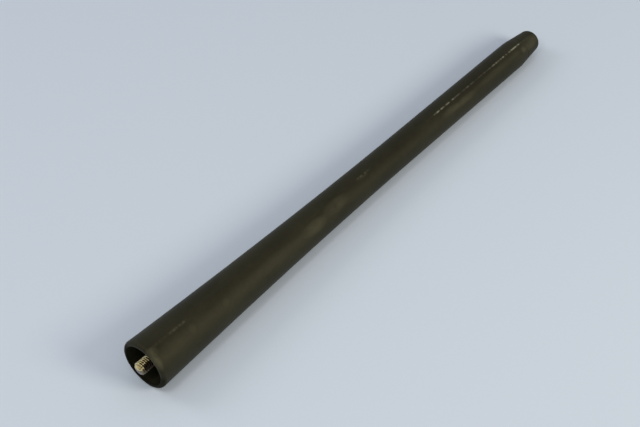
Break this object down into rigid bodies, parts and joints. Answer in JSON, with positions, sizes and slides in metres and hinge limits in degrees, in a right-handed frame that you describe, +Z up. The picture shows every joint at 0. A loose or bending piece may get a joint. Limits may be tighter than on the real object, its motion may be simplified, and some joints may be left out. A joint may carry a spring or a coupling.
{
  "type": "car antenna mast",
  "caption": "Short flexible screw-on car antenna mast with a flared hollow base, a threaded brass stud and a moulded sheath over a wound rod.",
  "frame": {"origin": "centre of the lowest face of the bounding box, on the surface that the mast lies on", "axes": "+X along the mast from its open base to its tip, +Z up from the surface; the mast's own axis dips about 1 degree towards the tip because the base is wider"},
  "size_m": [0.2364, 0.0198, 0.0199],
  "materials": {
    "sheath_rubber": "satin, dusty and lightly scuffed",
    "ferrule_brass": "turned, slightly tarnished",
    "rod_glass_fibre": "pultruded glass fibre",
    "coil_copper": "enamelled copper wire",
    "solder_tin": "dull solder",
    "sleeve_plastic": "shrunk film"
  },
  "bodies": {
    "root": {"mast_sheath": "sheath_rubber", "threaded_ferrule": "ferrule_brass", "core_rod": "rod_glass_fibre", "antenna_coil": "coil_copper", "solder_joint": "solder_tin", "shrink_sleeve": "sleeve_plastic"}
  },
  "joints": []
}
